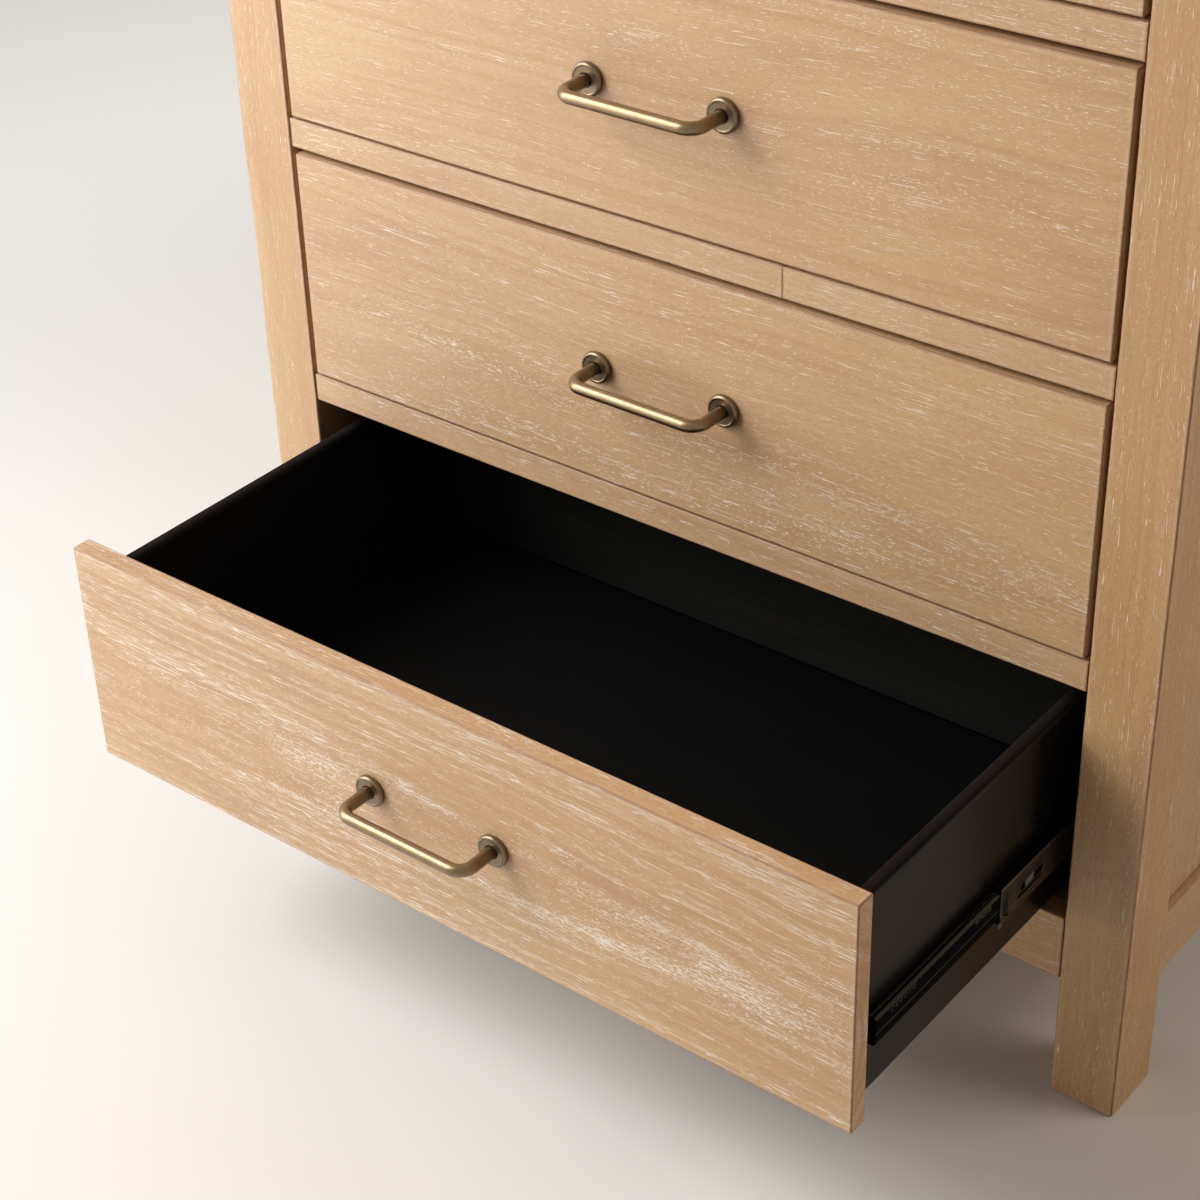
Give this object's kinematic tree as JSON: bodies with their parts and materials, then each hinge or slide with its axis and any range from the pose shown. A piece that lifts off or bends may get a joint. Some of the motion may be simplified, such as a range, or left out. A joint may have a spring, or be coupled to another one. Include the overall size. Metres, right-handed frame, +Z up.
{
  "type": "tall dresser",
  "caption": "Tall cerused-oak dresser on square posts: stacked drawers with bar pulls on ball-bearing slides, the lowest one drawn out.",
  "frame": {"origin": "on the floor, under the middle of the whole dresser as stored, with its lowest drawer drawn out 302.5 mm", "axes": "+Z up, X along the width, the drawers open towards -Y; the posts' front faces are at y -0.08105"},
  "size_m": [0.9384, 0.8539, 1.2192],
  "materials": {
    "oak": "light honey oak with cerused white pores, satin",
    "black_boards": "black-brown stain, satin",
    "slide_steel": "black electrophoretic coating, satin",
    "brass": "antique, rubbed on the bar and dark in the recesses"
  },
  "bodies": {
    "cabinet": {"post_front_left": "oak", "post_front_right": "oak", "post_back_left": "oak", "post_back_right": "oak", "apron_front": "oak", "rail_front_1": "oak", "rail_front_2": "oak", "rail_front_3": "oak", "rail_front_top": "oak", "rail_back": "oak", "rail_side_bottom_left": "oak", "rail_side_bottom_right": "oak", "rail_side_top_left": "oak", "rail_side_top_right": "oak", "panel_side_left": "oak", "panel_side_right": "oak", "panel_back": "oak", "bottom_board": "oak", "slide_board_left": "oak", "slide_board_right": "oak", "top": "oak", "slide_1_left_cabinet_member": "slide_steel", "slide_1_right_cabinet_member": "slide_steel", "slide_2_left_cabinet_member": "slide_steel", "slide_2_right_cabinet_member": "slide_steel", "slide_3_left_cabinet_member": "slide_steel", "slide_3_right_cabinet_member": "slide_steel", "slide_4_left_cabinet_member": "slide_steel", "slide_4_right_cabinet_member": "slide_steel"},
    "drawer_1": {"drawer_1_front": "oak", "drawer_1_side_left": "black_boards", "drawer_1_side_right": "black_boards", "drawer_1_back": "black_boards", "drawer_1_bottom": "black_boards", "drawer_1_pull": "brass", "slide_1_left_drawer_member": "slide_steel", "slide_1_right_drawer_member": "slide_steel"},
    "slide_middle_1": {"slide_1_left_middle_member": "slide_steel", "slide_1_right_middle_member": "slide_steel"},
    "drawer_2": {"drawer_2_front": "oak", "drawer_2_box": "black_boards", "drawer_2_pull": "brass", "slide_2_left_drawer_member": "slide_steel", "slide_2_right_drawer_member": "slide_steel"},
    "slide_middle_2": {"slide_2_left_middle_member": "slide_steel", "slide_2_right_middle_member": "slide_steel"},
    "drawer_3": {"drawer_3_front": "oak", "drawer_3_box": "black_boards", "drawer_3_pull": "brass", "slide_3_left_drawer_member": "slide_steel", "slide_3_right_drawer_member": "slide_steel"},
    "slide_middle_3": {"slide_3_left_middle_member": "slide_steel", "slide_3_right_middle_member": "slide_steel"},
    "drawer_4": {"drawer_4_front": "oak", "drawer_4_box": "black_boards", "drawer_4_pull": "brass", "slide_4_left_drawer_member": "slide_steel", "slide_4_right_drawer_member": "slide_steel"},
    "slide_middle_4": {"slide_4_left_middle_member": "slide_steel", "slide_4_right_middle_member": "slide_steel"}
  },
  "joints": [
    {"name": "drawer_1_slide", "type": "slide", "parent": "cabinet", "child": "drawer_1", "axis": [0, -1, 0], "range_m": [-0.3025, 0.0975]},
    {"name": "slide_middle_1_slide", "type": "slide", "parent": "cabinet", "child": "slide_middle_1", "axis": [0, -1, 0], "range_m": [-0.121, 0.039]},
    {"name": "drawer_2_slide", "type": "slide", "parent": "cabinet", "child": "drawer_2", "axis": [0, -1, 0], "range_m": [0, 0.4]},
    {"name": "slide_middle_2_slide", "type": "slide", "parent": "cabinet", "child": "slide_middle_2", "axis": [0, -1, 0], "range_m": [0, 0.16]},
    {"name": "drawer_3_slide", "type": "slide", "parent": "cabinet", "child": "drawer_3", "axis": [0, -1, 0], "range_m": [0, 0.4]},
    {"name": "slide_middle_3_slide", "type": "slide", "parent": "cabinet", "child": "slide_middle_3", "axis": [0, -1, 0], "range_m": [0, 0.16]},
    {"name": "drawer_4_slide", "type": "slide", "parent": "cabinet", "child": "drawer_4", "axis": [0, -1, 0], "range_m": [0, 0.4]},
    {"name": "slide_middle_4_slide", "type": "slide", "parent": "cabinet", "child": "slide_middle_4", "axis": [0, -1, 0], "range_m": [0, 0.16]}
  ],
  "couplings": [
    {"joint": "slide_middle_1_slide", "follows": "drawer_1_slide", "ratio": 0.4},
    {"joint": "slide_middle_2_slide", "follows": "drawer_2_slide", "ratio": 0.4},
    {"joint": "slide_middle_3_slide", "follows": "drawer_3_slide", "ratio": 0.4},
    {"joint": "slide_middle_4_slide", "follows": "drawer_4_slide", "ratio": 0.4}
  ]
}
